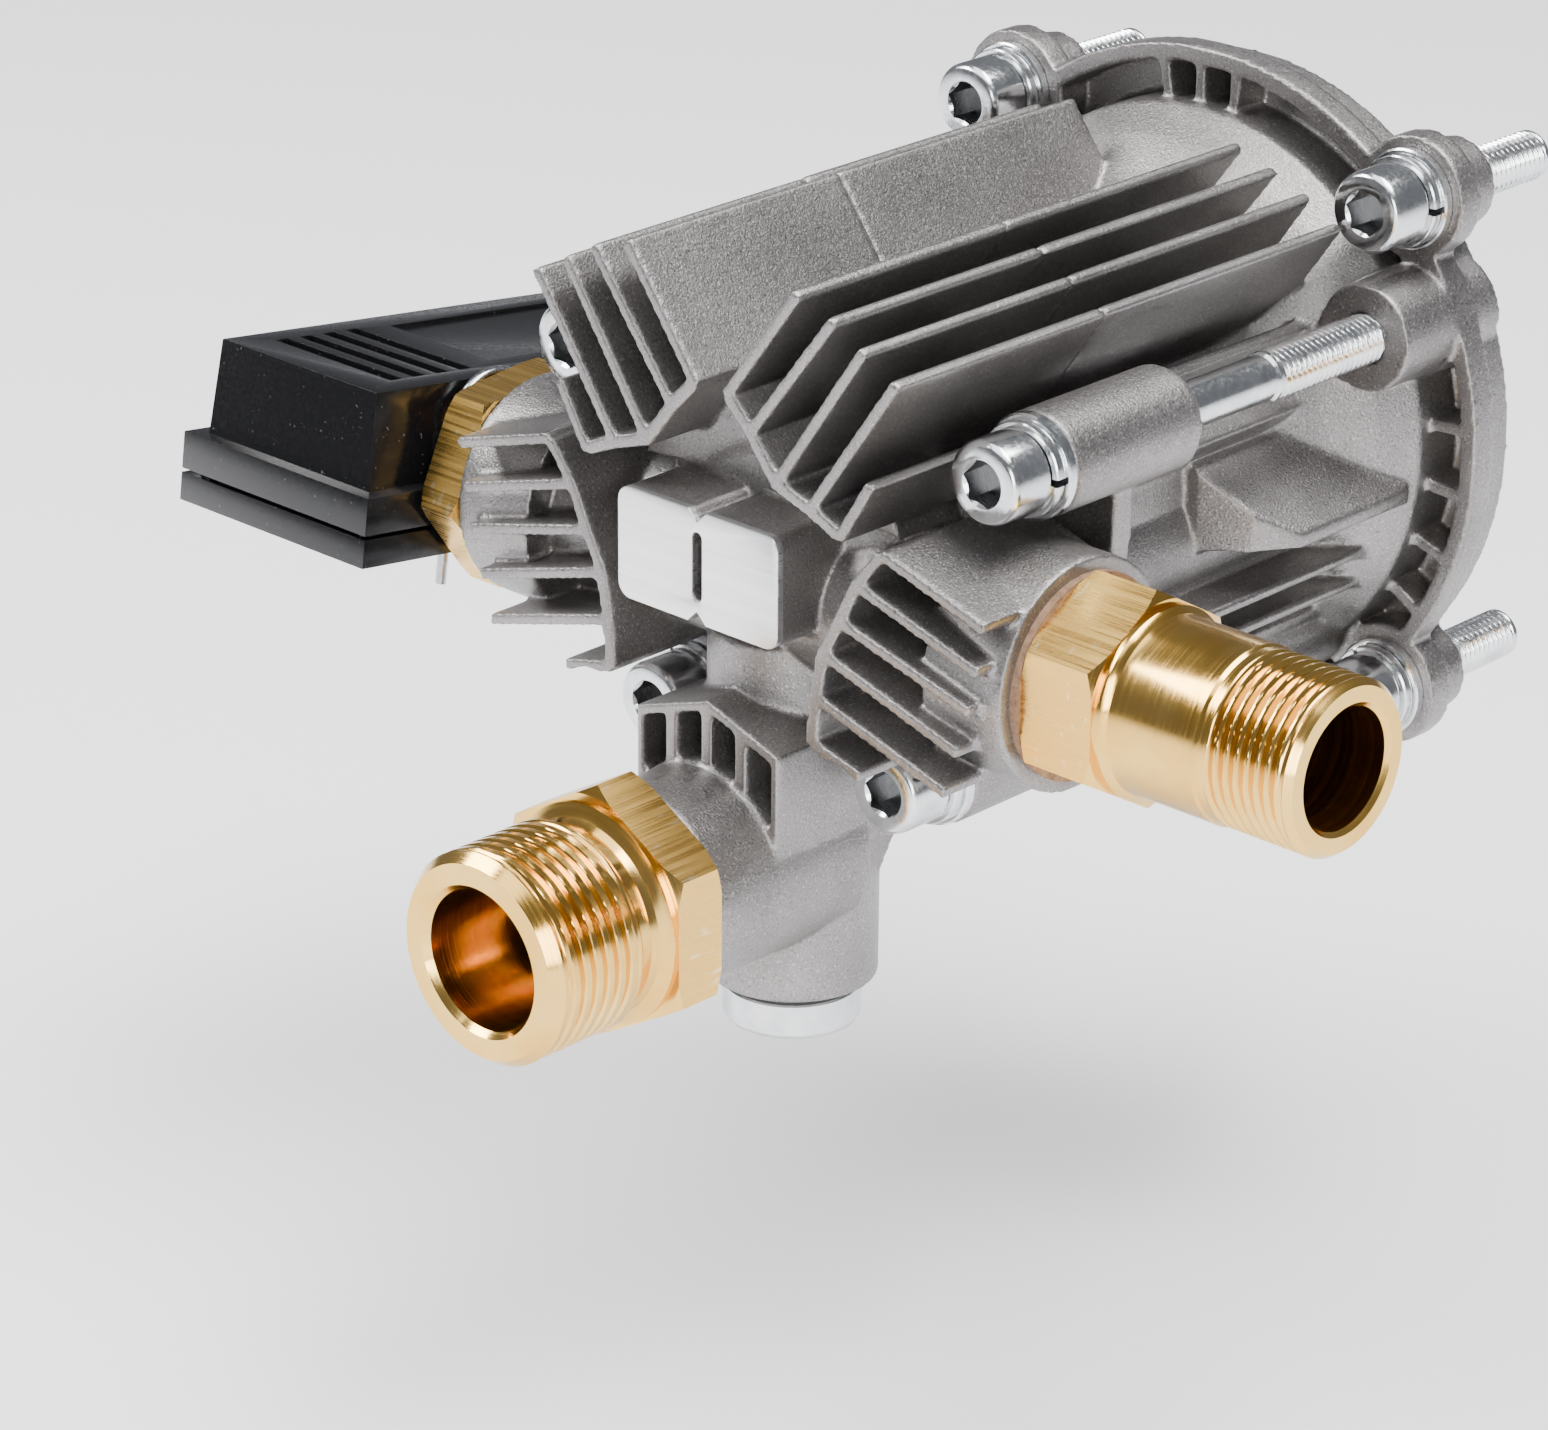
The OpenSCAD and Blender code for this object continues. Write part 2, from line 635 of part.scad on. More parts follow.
module at_cover_screws() {
    for (x = [box_left + 3.5, box_right - 3.5], y = [box_front + 3.5, box_back - 3.5])
        translate([x, y, 0]) children();
}
box_mid = (box_left + box_right) / 2;
grommet_z = -1.5;
clip_x = -69;
clip_r = 8.4;
clip_wire = 0.9;
clip_low = -26;
clip_bow = -0.6;     // where the clip's legs turn into its bow
module switch_box_clip() color("silver") tipped() {
    for (sy = [-1, 1]) rod_z(clip_x, arm_y + sy * clip_r, clip_low, clip_bow, clip_wire);
    translate([clip_x, arm_y, clip_bow]) rotate([90, 0, 90]) difference() {
        rotate_extrude($fn = 48) translate([clip_r, 0]) circle(r = clip_wire, $fn = 16);
        translate([-12, -24, -3]) cube([24, 24, 6]);
    }
}
switch_x = spigot_end - 4.5;
module microswitch() color("dimgray") tipped() {
    difference() {
        union() {
            translate([switch_x - 10, arm_y - 3, arm_z - 5]) cube([10, 20, 10]);
            translate([switch_x - 10, arm_y - 3, arm_z - 8]) cube([6, 2, 4]);
        }
        rod_x(arm_y, arm_z, switch_x - 3, switch_x + cut, 1.7);
    }
}
module microswitch_button() color("firebrick")
    rod_x(arm_y, arm_z, switch_x - 0.5, spigot_end - 1.05, 1.4);
module cover_screws() color("silver") tipped() at_cover_screws() {
    cylinder_between(box_low + 0.1, box_low + screw_head_t, 2.2);
    cylinder_between(box_low + screw_head_t - 0.5, screw_top, 1.2);
}
module cable_grommet() color("black") tipped() translate([box_mid, 0, grommet_z]) difference() {
    union() {
        rod_y(0, 0, box_back - 7, box_back + 5, 5);
        rod_y(0, 0, box_back - cover_step, box_back - cover_step + 2, 6.5);
    }
    rod_y(0, 0, box_back - 8, box_back + 6, 3);
}

// ---- Drive ----
module tilted_at(y) {
    translate([0, y, 0]) rotate([tilt, 0, 0]) children();
}
key_w = 5;
shaft_end_r = 7;
module drive_shaft() color("silver") {
    difference() {
        union() {
            rod_y(0, 0, -44, 1, shaft_r - 0.02);
            rod_y(0, 0, 1 - cut, 22, shaft_end_r);
            rod_y(0, 0, cavity_y - 2.4, cavity_y + 1.8, 10);
        }
        translate([shaft_r - 3, 4, -key_w / 2]) cube([10, 30, key_w]);
    }
}
module swash_plate() color("dimgray") {
    difference() {
        union() {
            tilted_at(swash_y) rod_y(0, 0, -swash_t, 0, swash_r);
            rod_y(0, 0, swash_y - 8, cavity_y - 2.4, 11);
        }
        rod_y(0, 0, -60, 0, shaft_r - 0.02);
        tilted_at(swash_y - swash_t) rod_y(0, 0, -20, 0, 30);
    }
}
module thrust_balls() color("silver") tilted_at(swash_y - swash_t) {
    for (a = [0:24:336]) translate([plunger_circle * cos(a), -ball_r, plunger_circle * sin(a)])
        sphere(r = ball_r, $fn = 24);
}
module thrust_race() color("gainsboro") tilted_at(swash_y - swash_t - 2 * ball_r - 0.03)
    tube_y(-race_t, 0, swash_r, 12);
module bearing_inner_race() color("silver")
    tube_y(bearing_y - bearing_t, bearing_y, 10, shaft_r);
module bearing_outer_race() color("silver")
    tube_y(bearing_y - bearing_t, bearing_y, bearing_r, 15);
module bearing_balls() color("gainsboro")
    for (a = [0:45:315]) translate([12.5 * cos(a), bearing_y - bearing_t / 2, 12.5 * sin(a)])
        sphere(r = 2.5, $fn = 24);
module shaft_seal() color("black") tube_y(seal_y - seal_t, seal_y, bearing_r, shaft_r + 0.05);

// ---- Plungers ----
module plunger() {
    rod_y(0, 0, foot_y - foot_t, foot_y, 6);
    rod_y(0, 0, tip_y, foot_y - foot_t + cut, plunger_r);
}
module plunger_at(i) {
    translate([plunger_circle * cos(PLUNGER_ANGLES[i]), 0, plunger_circle * sin(PLUNGER_ANGLES[i])])
        children();
}
module plunger_1() color("white") plunger_at(0) plunger();
module plunger_2() color("white") plunger_at(1) plunger();
module plunger_3() color("white") plunger_at(2) plunger();
module collar() {
    tube_y(foot_y - foot_t - collar_t, foot_y - foot_t, 8, plunger_r);
}
module plunger_collar_1() color("gray") plunger_at(0) collar();
module plunger_collar_2() color("gray") plunger_at(1) collar();
module plunger_collar_3() color("gray") plunger_at(2) collar();
module plunger_springs() color("silver") at_plungers(plunger_circle)
    spring_y(guide_y, foot_y - foot_t - collar_t, 6.6, 1.4, 7);
module guide_plate() color("darkgray") {
    difference() {
        rod_y(0, 0, guide_y - guide_t, guide_y, guide_r - 0.1);
        at_plungers(plunger_circle) {
            rod_y(0, 0, guide_y - guide_t - cut, guide_y + cut, plunger_r + 0.05);
            rod_y(0, 0, guide_y - guide_t - cut, guide_y - guide_t + oil_seal_t, gland_r);
        }
    }
}
module oil_seals() color("black") at_plungers(plunger_circle)
    tube_y(guide_y - guide_t, guide_y - guide_t + oil_seal_t, gland_r, plunger_r + 0.05);
module backup_rings() color("gold") at_plungers(plunger_circle)
    tube_y(pack_y - backup_t, pack_y, gland_r, plunger_r + 0.05);
module water_seals() color("black") at_plungers(plunger_circle)
    tube_y(pack_y - backup_t - water_t, pack_y - backup_t, gland_r, plunger_r + 0.05);

// ---- Valves ----
inlet_front = chamber_y - inlet_vl;
outlet_front = chamber_y - outlet_vl;
module inlet_valve_seats() color("gold") at_plungers(inlet_ring)
    tube_y(inlet_front, inlet_front + valve_seat_t, inlet_vr, 2.2);
module outlet_valve_seats() color("gold") at_plungers(outlet_ring)
    tube_y(chamber_y - valve_seat_t, chamber_y, outlet_vr, 1.8);
module inlet_valve_cages() color("white") at_plungers(inlet_ring) {
    tube_y(inlet_front + valve_seat_t, chamber_y, inlet_vr, inlet_vr - cage_wall);
    tube_y(chamber_y - 0.6, chamber_y, inlet_vr - cage_wall + 0.1, 1.8);
}
module outlet_valve_cages() color("white") at_plungers(outlet_ring) {
    tube_y(outlet_front, chamber_y - valve_seat_t, outlet_vr, outlet_vr - cage_wall);
    tube_y(outlet_front, outlet_front + 0.6, outlet_vr - cage_wall + 0.1, 1.6);
}
module inlet_poppet() {
    rod_y(0, 0, inlet_front + valve_seat_t, inlet_front + valve_seat_t + poppet_t, 2.8);
}
module outlet_poppet() {
    rod_y(0, 0, chamber_y - valve_seat_t - poppet_t, chamber_y - valve_seat_t, 2.3);
}
module valve_at(ring, i) {
    translate([ring * cos(PLUNGER_ANGLES[i]), 0, ring * sin(PLUNGER_ANGLES[i])]) children();
}
module inlet_poppet_1() color("white") valve_at(inlet_ring, 0) inlet_poppet();
module inlet_poppet_2() color("white") valve_at(inlet_ring, 1) inlet_poppet();
module inlet_poppet_3() color("white") valve_at(inlet_ring, 2) inlet_poppet();
module outlet_poppet_1() color("white") valve_at(outlet_ring, 0) outlet_poppet();
module outlet_poppet_2() color("white") valve_at(outlet_ring, 1) outlet_poppet();
module outlet_poppet_3() color("white") valve_at(outlet_ring, 2) outlet_poppet();
module inlet_valve_springs() color("silver") at_plungers(inlet_ring)
    spring_y(inlet_front + valve_seat_t + poppet_t, chamber_y - 0.6, 2.2, 0.4, 4);
module outlet_valve_springs() color("silver") at_plungers(outlet_ring)
    spring_y(outlet_front + 0.6, chamber_y - valve_seat_t - poppet_t, 1.9, 0.4, 6);

rear_housing();
pump_head();
flange_bolts();
head_bolts();
spring_washers();
flat_washers();
outlet_fitting();
outlet_washer();
check_valve_seat();
check_valve_poppet();
check_valve_spring();
inlet_fitting();
inlet_washer();
inlet_strainer();
bottom_plug();
bottom_plug_seal();
stop_valve_body();
stop_valve_seal();
stop_piston();
stop_piston_seal();
stop_spring();
switch_box_base();
switch_box_cover();
switch_box_clip();
microswitch();
microswitch_button();
cover_screws();
cable_grommet();
drive_shaft();
swash_plate();
bearing_inner_race();
bearing_outer_race();
bearing_balls();
shaft_seal();
thrust_race();
thrust_balls();
plunger_1();
plunger_2();
plunger_3();
plunger_collar_1();
plunger_collar_2();
plunger_collar_3();
plunger_springs();
guide_plate();
oil_seals();
backup_rings();
water_seals();
inlet_valve_seats();
outlet_valve_seats();
inlet_valve_cages();
outlet_valve_cages();
inlet_poppet_1();
inlet_poppet_2();
inlet_poppet_3();
outlet_poppet_1();
outlet_poppet_2();
outlet_poppet_3();
inlet_valve_springs();
outlet_valve_springs();
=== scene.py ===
import json
import math

import bmesh
import bpy
from mathutils import Matrix, Vector


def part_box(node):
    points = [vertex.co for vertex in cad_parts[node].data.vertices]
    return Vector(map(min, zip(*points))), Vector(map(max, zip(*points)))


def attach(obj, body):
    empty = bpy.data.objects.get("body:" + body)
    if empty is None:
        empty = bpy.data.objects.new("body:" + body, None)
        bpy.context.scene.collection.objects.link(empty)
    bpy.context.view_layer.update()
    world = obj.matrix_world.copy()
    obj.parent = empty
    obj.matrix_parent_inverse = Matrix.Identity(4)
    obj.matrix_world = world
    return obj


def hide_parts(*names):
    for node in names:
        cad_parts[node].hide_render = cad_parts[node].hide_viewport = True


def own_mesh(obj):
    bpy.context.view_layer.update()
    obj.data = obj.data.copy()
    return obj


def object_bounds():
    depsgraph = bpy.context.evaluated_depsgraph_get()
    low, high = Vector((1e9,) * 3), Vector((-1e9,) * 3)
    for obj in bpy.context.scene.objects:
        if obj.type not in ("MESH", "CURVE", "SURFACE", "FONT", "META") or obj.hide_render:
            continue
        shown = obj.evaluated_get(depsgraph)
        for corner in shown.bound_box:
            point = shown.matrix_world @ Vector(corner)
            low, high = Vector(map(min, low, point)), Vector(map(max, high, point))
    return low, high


# A three-plunger pressure washer pump: two aluminium castings, brass ports and a switch box.
# The frame's origin is the centre of the mounting face, +Y points into the motor, +X to the
# outlet and +Z up. Profiles are drawn in millimetres and stored in metres.

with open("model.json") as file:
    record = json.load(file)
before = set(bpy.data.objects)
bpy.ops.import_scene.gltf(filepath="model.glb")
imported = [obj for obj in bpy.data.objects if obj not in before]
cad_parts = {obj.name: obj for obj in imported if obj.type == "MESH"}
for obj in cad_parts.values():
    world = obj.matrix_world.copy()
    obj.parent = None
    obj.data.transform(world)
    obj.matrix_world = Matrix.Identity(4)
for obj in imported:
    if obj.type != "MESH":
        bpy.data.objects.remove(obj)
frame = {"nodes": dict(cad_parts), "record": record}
CAD_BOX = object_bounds()
NODES = frame["nodes"]
RECORD = frame["record"]
BODIES = RECORD["behaviour"]["bodies"]
JOINTS = {joint["name"]: joint for joint in RECORD["behaviour"]["joints"]}
MM = 0.001


def linked(name, data):
    """A new object in the scene"""
    made = bpy.data.objects.new(name, data)
    bpy.context.scene.collection.objects.link(made)
    return made


# ---- Camera ----
AZIMUTH = math.radians(43.42)
ELEVATION = math.radians(23.39)
ROLL = math.radians(0.44)
LENS = 124.32
AIM = Vector((-29.08, -80, -46.33)) * MM
DISTANCE = 0.8566


def make_camera():
    """A camera that looks at AIM from the front right, a little above the pump"""
    level = math.cos(ELEVATION)
    back = Vector((math.sin(AZIMUTH) * level, -math.cos(AZIMUTH) * level, math.sin(ELEVATION)))
    right = Vector((0, 0, 1)).cross(back).normalized()
    up = back.cross(right)
    turned_right = right * math.cos(ROLL) + up * math.sin(ROLL)
    turned_up = up * math.cos(ROLL) - right * math.sin(ROLL)
    data = bpy.data.cameras.new("camera")
    data.lens = LENS
    data.sensor_width = 36
    data.clip_start = 0.01
    data.clip_end = 50
    camera = linked("camera", data)
    axes = Matrix((turned_right, turned_up, back)).transposed().to_4x4()
    camera.matrix_world = Matrix.Translation(AIM + back * DISTANCE) @ axes
    bpy.context.scene.camera = camera


make_camera()


# ---- Materials ----
class Shader:
    """A material's node tree, with a Principled shader and object coordinates at hand."""

    def __init__(self, name, **constants):
        self.material = bpy.data.materials.new(name)
        self.material.use_nodes = True
        self.tree = self.material.node_tree
        self.principled = self.tree.nodes["Principled BSDF"]
        self.place = self.tree.nodes.new("ShaderNodeTexCoord").outputs["Object"]
        for socket, value in constants.items():
            self.principled.inputs[socket.replace("_", " ")].default_value = value

    def link(self, output, socket):
        self.tree.links.new(output, socket)

    def node(self, kind, **settings):
        """A shader node with its settings"""
        made = self.tree.nodes.new("ShaderNode" + kind)
        for key, value in settings.items():
            setattr(made, key, value)
        return made

    def stretched(self, scale):
        """Object coordinates multiplied by a scale for each axis"""
        mapping = self.node("Mapping")
        mapping.inputs["Scale"].default_value = scale
        self.link(self.place, mapping.inputs["Vector"])
        return mapping.outputs["Vector"]

    def noise(self, scale, detail=3.0, vector=None, roughness=0.5):
        """Cloudy values about 0.5, so many to the metre"""
        made = self.node("TexNoise")
        made.inputs["Scale"].default_value = scale
        made.inputs["Detail"].default_value = detail
        made.inputs["Roughness"].default_value = roughness
        self.link(vector or self.place, made.inputs["Vector"])
        return made.outputs["Fac"]

    def ramp(self, source, low, high, to_low=0.0, to_high=1.0):
        """A value between two limits, stretched to two others"""
        made = self.node("MapRange")
        for name, value in (("From Min", low), ("From Max", high),
                            ("To Min", to_low), ("To Max", to_high)):
            made.inputs[name].default_value = value
        self.link(source, made.inputs["Value"])
        return made.outputs["Result"]

    def mix(self, factor, first, second):
        """A colour between two, each a tuple or an output"""
        made = self.node("Mix", data_type="RGBA")
        self.link(factor, made.inputs["Factor"])
        for socket, value in ((made.inputs[6], first), (made.inputs[7], second)):
            if isinstance(value, tuple):
                socket.default_value = (*value, 1)
            else:
                self.link(value, socket)
        return made.outputs[2]

    def math(self, operation, first, second):
        """A sum, product or comparison of two values, each a number or an output"""
        made = self.node("Math", operation=operation)
        for socket, value in zip(made.inputs, (first, second)):
            if isinstance(value, (int, float)):
                socket.default_value = value
            else:
                self.link(value, socket)
        return made.outputs[0]

    def bump(self, height, strength, distance, after=None):
        """A normal from a height, laid over an earlier one"""
        made = self.node("Bump")
        made.inputs["Strength"].default_value = strength
        made.inputs["Distance"].default_value = distance
        self.link(height, made.inputs["Height"])
        if after:
            self.link(after, made.inputs["Normal"])
        return made.outputs["Normal"]

    def axis(self, index):
        """The object coordinate along X, Y or Z"""
        parts = self.node("SeparateXYZ")
        self.link(self.place, parts.inputs[0])
        return parts.outputs[index]

    def finish(self, color=None, roughness=None, normal=None):
        """Links the outputs to the shader and hands over the material"""
        for name, source in (("Base Color", color), ("Roughness", roughness), ("Normal", normal)):
            if source is not None:
                self.link(source, self.principled.inputs[name])
        return self.material


def cast_aluminium(name, machined_from=None):
    """Shot-blasted casting skin; from a station along Y onwards it is a machined face"""
    s = Shader(name, Metallic=0.92)
    patches = s.noise(60, 4)
    grains = s.noise(2600, 2)
    pits = s.noise(1300, 4, roughness=0.65)
    color = s.mix(s.ramp(patches, 0.3, 0.72), (0.225, 0.212, 0.207), (0.33, 0.315, 0.307))
    color = s.mix(s.ramp(grains, 0.58, 0.72), color, (0.50, 0.485, 0.475))
    color = s.mix(s.ramp(grains, 0.40, 0.30), color, (0.16, 0.152, 0.148))
    rough = s.ramp(pits, 0.3, 0.7, 0.34, 0.50)
    normal = s.bump(grains, 0.35, 0.00016)
    normal = s.bump(pits, 0.28, 0.00026, normal)
    if machined_from is not None:
        face = s.math("GREATER_THAN", s.axis(1), machined_from)
        rings = s.noise(1.0, 2, s.stretched((2600, 2600, 40)))
        color = s.mix(face, color, (0.78, 0.78, 0.78))
        plain = s.math("MULTIPLY", s.math("SUBTRACT", 1.0, face), rough)
        rough = s.math("ADD", plain, s.math("MULTIPLY", face, s.ramp(rings, 0.3, 0.7, 0.22, 0.34)))
    return s.finish(color, rough, normal)


def milled_aluminium(name):
    """A face cut by an end mill, with fine straight lines along X"""
    s = Shader(name, Metallic=1.0)
    lines = s.noise(1.0, 3, s.stretched((14, 1, 2600)))
    broad = s.noise(1.0, 2, s.stretched((5, 1, 420)))
    color = s.mix(s.ramp(broad, 0.3, 0.7), (0.80, 0.80, 0.81), (0.90, 0.90, 0.91))
    rough = s.ramp(lines, 0.3, 0.7, 0.24, 0.40)
    normal = s.bump(lines, 0.22, 0.00006)
    return s.finish(color, rough, s.bump(broad, 0.12, 0.0001, normal))


BRASS_DEEP = (0.80, 0.46, 0.10)
BRASS_PALE = (0.92, 0.60, 0.18)


def turned_brass(name, along):
    """Polished brass with fine tool lines around an axis, 0 for X and 1 for Y"""
    s = Shader(name, Metallic=1.0)
    scale = (3200, 6, 6) if along == 0 else (6, 3200, 6)
    lines = s.noise(1.0, 2, s.stretched(scale))
    stains = s.noise(90, 3)
    color = s.mix(s.ramp(stains, 0.3, 0.75), BRASS_DEEP, BRASS_PALE)
    rough = s.ramp(lines, 0.3, 0.7, 0.10, 0.22)
    normal = s.bump(lines, 0.16, 0.00005)
    return s.finish(color, rough, normal)


def sawn_brass(name, scale):
    """Hexagon flats with straight cutting lines and a few scratches"""
    s = Shader(name, Metallic=1.0)
    lines = s.noise(1.0, 3, s.stretched(scale))
    scratches = s.noise(1.0, 1, s.stretched((700, 160, 500)))
    color = s.mix(s.ramp(lines, 0.1, 1.0), BRASS_DEEP, BRASS_PALE)
    color = s.mix(s.ramp(scratches, 0.66, 0.74), color, (0.95, 0.72, 0.36))
    rough = s.ramp(lines, 0.3, 0.7, 0.20, 0.36)
    return s.finish(color, rough, s.bump(lines, 0.14, 0.00008))


def plated_steel(name):
    """Bright zinc plate with faint cloudy stains"""
    s = Shader(name, Metallic=1.0)
    clouds = s.noise(260, 4)
    specks = s.noise(1500, 2)
    color = s.mix(s.ramp(clouds, 0.3, 0.7), (0.62, 0.64, 0.65), (0.80, 0.81, 0.82))
    rough = s.ramp(specks, 0.3, 0.7, 0.12, 0.26)
    return s.finish(color, rough, s.bump(specks, 0.10, 0.0001))


def moulded_plastic(name, color, gloss):
    """Moulded plastic with a fine grain and a few pale dust specks"""
    s = Shader(name)
    s.principled.inputs["Specular IOR Level"].default_value = 0.5
    fine = s.noise(1600, 3)
    dust = s.noise(1900, 0)
    pale = tuple(c + 0.06 for c in color)
    tone = s.mix(s.ramp(dust, 0.81, 0.84), color, pale)
    rough = s.ramp(fine, 0.3, 0.7, gloss, gloss + 0.12)
    return s.finish(tone, rough, s.bump(fine, 0.07, 0.00008))


def rubber(name):
    """Dull black nitrile rubber"""
    s = Shader(name)
    fine = s.noise(900, 4)
    color = s.mix(s.ramp(fine, 0.3, 0.7), (0.008, 0.008, 0.008), (0.022, 0.022, 0.022))
    return s.finish(color, s.ramp(fine, 0.3, 0.7, 0.55, 0.75), s.bump(fine, 0.3, 0.0002))


def fibre(name):
    """Pressed brown gasket fibre"""
    s = Shader(name)
    strands = s.noise(700, 5, roughness=0.7)
    color = s.mix(s.ramp(strands, 0.35, 0.65), (0.16, 0.09, 0.05), (0.36, 0.22, 0.13))
    return s.finish(color, s.ramp(strands, 0.3, 0.7, 0.7, 0.9), s.bump(strands, 0.4, 0.0002))


def ground_steel(name, tint, gloss=0.16):
    """Bare steel with fine grinding lines across Y"""
    s = Shader(name, Metallic=1.0)
    lines = s.noise(1.0, 2, s.stretched((500, 2600, 500)))
    pale = tuple(c + 0.12 for c in tint)
    color = s.mix(s.ramp(lines, 0.3, 0.7), tint, pale)
    rough = s.ramp(lines, 0.3, 0.7, gloss, gloss + 0.12)
    return s.finish(color, rough, s.bump(lines, 0.12, 0.00006))


def glazed(name, color):
    """Ceramic and acetal pieces inside the pump"""
    s = Shader(name)
    clouds = s.noise(300, 3)
    dull = tuple(c * 0.9 for c in color)
    tone = s.mix(s.ramp(clouds, 0.3, 0.7), dull, color)
    rough = s.ramp(clouds, 0.3, 0.7, 0.25, 0.38)
    return s.finish(tone, rough, s.bump(clouds, 0.05, 0.0001))


CAST_HEAD = cast_aluminium("cast_head")
CAST_HOUSING = cast_aluminium("cast_housing", -0.4 * MM)
MILLED = milled_aluminium("milled_face")
BRASS_X = turned_brass("turned_brass_x", 0)
BRASS_Y = turned_brass("turned_brass_y", 1)
FLATS_X = sawn_brass("brass_flats_x", (40, 2400, 2400))
FLATS_Y = sawn_brass("brass_flats_y", (2400, 40, 2400))
ZINC = plated_steel("zinc_plate")
# Dark steel for the faces inside the screw sockets: painted shade in the recesses
SOCKET_SHADE = ground_steel("painted_socket_shade", (0.20, 0.205, 0.21), 0.25)
BLACK = moulded_plastic("black_plastic", (0.004, 0.004, 0.0045), 0.15)
SLOT_MATERIALS = {
    "cast_aluminium": CAST_HEAD,
    "zinc_steel": ZINC,
    "brass": BRASS_Y,
    "fibre": fibre("pressed_fibre"),
    "spring_steel": ground_steel("spring_wire", (0.45, 0.46, 0.48)),
    "stainless": ground_steel("stainless_steel", (0.58, 0.58, 0.58)),
    "valve_plastic": glazed("acetal", (0.78, 0.76, 0.70)),
    "seal_rubber": rubber("nitrile_rubber"),
    "black_plastic": BLACK,
    "switch_plastic": moulded_plastic("switch_plastic", (0.03, 0.03, 0.033), 0.4),
    "button_red": moulded_plastic("button_plastic", (0.42, 0.03, 0.02), 0.3),
    "bearing_steel": ground_steel("bearing_steel", (0.50, 0.51, 0.53), 0.10),
    "plunger_ceramic": glazed("ceramic", (0.82, 0.81, 0.76)),
    "guide_alloy": ground_steel("guide_alloy", (0.56, 0.56, 0.57), 0.25),
}
NODE_SLOT = {row["node"]: row["material_slot"] for row in RECORD["subparts"]}
NODE_BODY = {name: body for body, names in BODIES.items() for name in names}


def dress_cad_nodes():
    """Gives every CAD node the material of its slot"""
    for name, cad in NODES.items():
        cad.data.materials.clear()
        cad.data.materials.append(SLOT_MATERIALS[NODE_SLOT[name]])


dress_cad_nodes()


# ---- Mesh helpers ----
def stand_in(name, mesh, nodes, materials):
    """A new object that stands for CAD nodes and rides on their body"""
    piece = linked(name, mesh)
    while len(mesh.materials) < len(materials):
        mesh.materials.append(None)
    for index, material in enumerate(materials):
        mesh.materials[index] = material
    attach(piece, NODE_BODY[nodes[0]])
    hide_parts(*nodes)
    return piece


def baked(piece):
    """The mesh of a scratch object with its modifiers applied; the object is removed"""
    graph = bpy.context.evaluated_depsgraph_get()
    mesh = bpy.data.meshes.new_from_object(piece.evaluated_get(graph))
    bpy.data.objects.remove(piece)
    return mesh


def mesh_from(name, work):
    """The mesh of a finished bmesh"""
    mesh = bpy.data.meshes.new(name)
    work.to_mesh(mesh)
    work.free()
    return mesh


def solid_from(name, work):
    """The mesh of a closed bmesh, with its faces turned outwards"""
    bmesh.ops.recalc_face_normals(work, faces=work.faces)
    return mesh_from(name, work)


def lofted(name, sections):
    """A solid through equal rings of points in millimetres, with a face at each end"""
    work = bmesh.new()
    rings = [[work.verts.new(Vector(point) * MM) for point in section] for section in sections]
    for first, second in zip(rings, rings[1:]):
        for k in range(len(first)):
            following = (k + 1) % len(first)
            work.faces.new([first[k], first[following], second[following], second[k]])
    work.faces.new(rings[0])
    work.faces.new(rings[-1])
    return solid_from(name, work)


def bevelled(mesh, width, segments, angle):
    """The mesh with its edges rounded where they are sharper than an angle"""
    piece = linked("bevelled", mesh)
    bevel = piece.modifiers.new("edges", "BEVEL")
    bevel.width = width
    bevel.segments = segments
    bevel.limit_method = "ANGLE"
    bevel.angle_limit = math.radians(angle)
    return baked(piece)


def smooth(mesh, angle=30):
    """Smooth shading, with edges sharper than an angle kept sharp"""
    mesh.polygons.foreach_set("use_smooth", [True] * len(mesh.polygons))
    work = bmesh.new()
    work.from_mesh(mesh)
    for edge in work.edges:
        edge.smooth = len(edge.link_faces) != 2 or edge.calc_face_angle(0) < math.radians(angle)
    work.to_mesh(mesh)
    work.free()
    return mesh


def to_z(point):
    """A place for turned pieces whose axis is along Z"""
    return Matrix.Translation(Vector(point) * MM)


def to_x(point):
    """A place for turned pieces whose axis is along X"""
    return to_z(point) @ Matrix.Rotation(math.radians(90), 4, "Y")


def to_y(point, direction=1):
    """A place for turned pieces whose axis is along Y, or against it"""
    return to_z(point) @ Matrix.Rotation(math.radians(-90 * direction), 4, "X")


class Thread:
    """A right-handed V thread between two stations along a turned piece

    The crest and root are the shares of half a turn at which the groove's flank starts and ends.
    """

    ROOT = 0.94
    RUN_OUT = 0.8

    def __init__(self, start, end, pitch, depth, crest, steps):
        self.start, self.end, self.pitch, self.depth = start, end, pitch, depth
        self.crest, self.steps = crest, steps

    def groove(self, station, angle):
        """How far the groove lies under the crest at a station and an angle"""
        wave = abs(2 * (((station - self.start) / self.pitch - angle / math.tau) % 1) - 1)
        shape = min(max((wave - self.crest) / (self.ROOT - self.crest), 0), 1)
        run_out = min(station - self.start, self.end - station) / (self.RUN_OUT * self.pitch)
        return self.depth * shape * min(max(run_out, 0), 1)


def stations_of(outline, thread):
    """The outline's points, with the stretch that carries a thread cut into fine steps"""
    points = []
    for here, following in zip(outline, outline[1:] + outline[:1]):
        points.append((*here, False))
        if thread and (here[0], following[0]) == (thread.start, thread.end):
            steps = round((thread.end - thread.start) / thread.pitch * thread.steps)
            for k in range(1, steps):
                share = k / steps
                points.append((here[0] + share * (following[0] - here[0]),
                               here[1] + share * (following[1] - here[1]), True))
    return points


